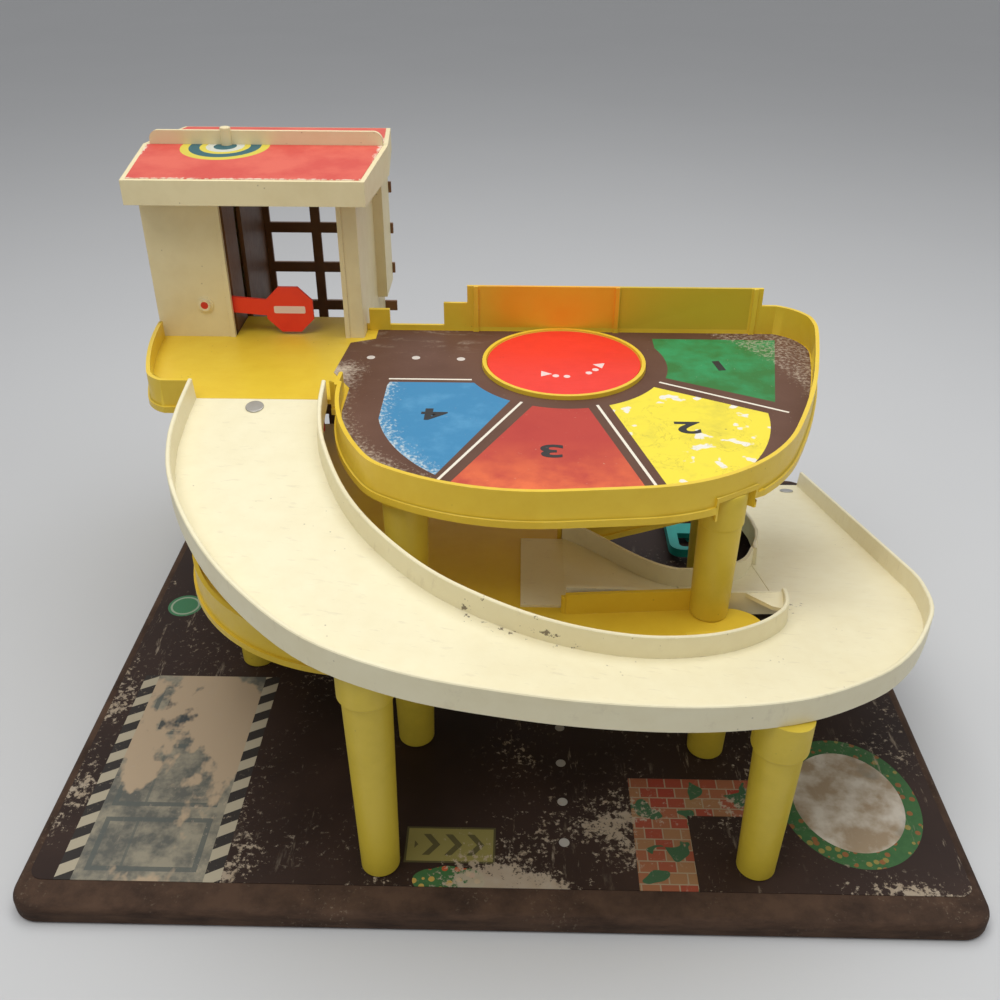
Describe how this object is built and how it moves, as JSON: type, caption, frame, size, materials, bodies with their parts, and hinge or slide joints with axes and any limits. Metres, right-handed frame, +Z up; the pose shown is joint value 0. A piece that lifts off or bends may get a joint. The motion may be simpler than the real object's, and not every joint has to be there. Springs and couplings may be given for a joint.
{
  "type": "toy parking garage with lift",
  "caption": "Toy parking garage: base board, two decks on posts, a curved ramp round the front, and a roofed tower with a crank-driven car lift and stop arms.",
  "frame": {"origin": "middle of the underside of the base board", "axes": "+Z up, +X to the right seen from the front, +Y to the back, towards the tower"},
  "size_m": [0.508, 0.4512, 0.3175],
  "materials": {
    "cream": "moulded, slightly glossy",
    "yellow": "moulded, slightly glossy",
    "hardboard": "dull moulded tray",
    "printed_sheet": "printed paper under varnish",
    "brown": "moulded",
    "red": "moulded",
    "teal": "moulded",
    "steel": "drawn wire",
    "cord": "twisted"
  },
  "bodies": {
    "garage": {"base_board": "hardboard", "base_printed_sheet": "printed_sheet", "deck_leg_front_left": "yellow", "deck_leg_front_right": "yellow", "deck_leg_rear_right": "yellow", "deck_leg_side": "yellow", "guide_rod_front": "steel", "guide_rod_rear": "steel", "leg_screws": "steel", "lift_cord": "cord", "lift_cord_run": "cord", "lift_head_bracket": "brown", "main_ramp": "cream", "pillar_front_left": "yellow", "pillar_front_right": "yellow", "pillar_rear_right": "yellow", "pulley_axle": "steel", "ramp_leg_left": "yellow", "ramp_leg_right": "yellow", "ramp_rivets": "steel", "roof": "cream", "roof_fin": "cream", "roof_front_panel": "printed_sheet", "roof_rear_panel": "printed_sheet", "second_deck": "yellow", "second_level_ramp": "cream", "shaft_inner_wall": "brown", "shaft_lattice": "brown", "stop_arm_rivets": "red", "stop_arm_washers": "cream", "top_deck": "yellow", "top_deck_printed_sheet": "printed_sheet", "tower_ground_storey": "cream", "tower_middle_storey": "cream", "tower_top_storey": "cream"},
    "turntable": {"turntable": "red", "turntable_retainer": "yellow"},
    "lift_carriage": {"lift_carriage": "teal"},
    "lift_platform": {"lift_platform": "teal"},
    "crank": {"crank_spool": "red", "crank_arm": "red", "crank_knob": "red"},
    "pulley": {"pulley": "red"},
    "stop_arm_top": {"stop_arm_top": "red"},
    "stop_arm_second": {"stop_arm_second": "red"},
    "hoist": {"hoist_ram": "teal", "hoist_frame": "teal"}
  },
  "joints": [
    {"name": "turntable_spin", "type": "hinge", "parent": "garage", "child": "turntable", "pos_m": [0.036, 0.057, 0.192], "axis": [0, 0, 1], "continuous": true},
    {"name": "lift_slide", "type": "slide", "parent": "garage", "child": "lift_carriage", "axis": [0, 0, 1], "range_m": [0, 0.176], "deforming": ["lift_cord_run"]},
    {"name": "platform_tilt", "type": "hinge", "parent": "lift_carriage", "child": "lift_platform", "pos_m": [-0.1775, 0.139, 0.027], "axis": [1, 0, 0], "range_deg": [0, 10]},
    {"name": "crank_turn", "type": "hinge", "parent": "garage", "child": "crank", "pos_m": [-0.207, 0.2, 0.15], "axis": [0, 1, 0], "range_deg": [0, 1310]},
    {"name": "pulley_turn", "type": "hinge", "parent": "garage", "child": "pulley", "pos_m": [-0.1993, 0.155, 0.262], "axis": [-1, 0, 0], "range_deg": [0, 631]},
    {"name": "stop_arm_top_swing", "type": "hinge", "parent": "garage", "child": "stop_arm_top", "pos_m": [-0.2016, 0.0995, 0.2147], "axis": [0, -1, 0], "range_deg": [0, 55]},
    {"name": "stop_arm_second_swing", "type": "hinge", "parent": "garage", "child": "stop_arm_second", "pos_m": [-0.2016, 0.0995, 0.1297], "axis": [0, -1, 0], "range_deg": [0, 55]},
    {"name": "hoist_swivel", "type": "hinge", "parent": "garage", "child": "hoist", "pos_m": [0.147, 0.126, 0.012], "axis": [0, 0, 1], "continuous": true}
  ],
  "couplings": [
    {"joint": "crank_turn", "follows": "lift_slide", "rad_per_m": 129.87},
    {"joint": "pulley_turn", "follows": "lift_slide", "rad_per_m": 62.5}
  ]
}
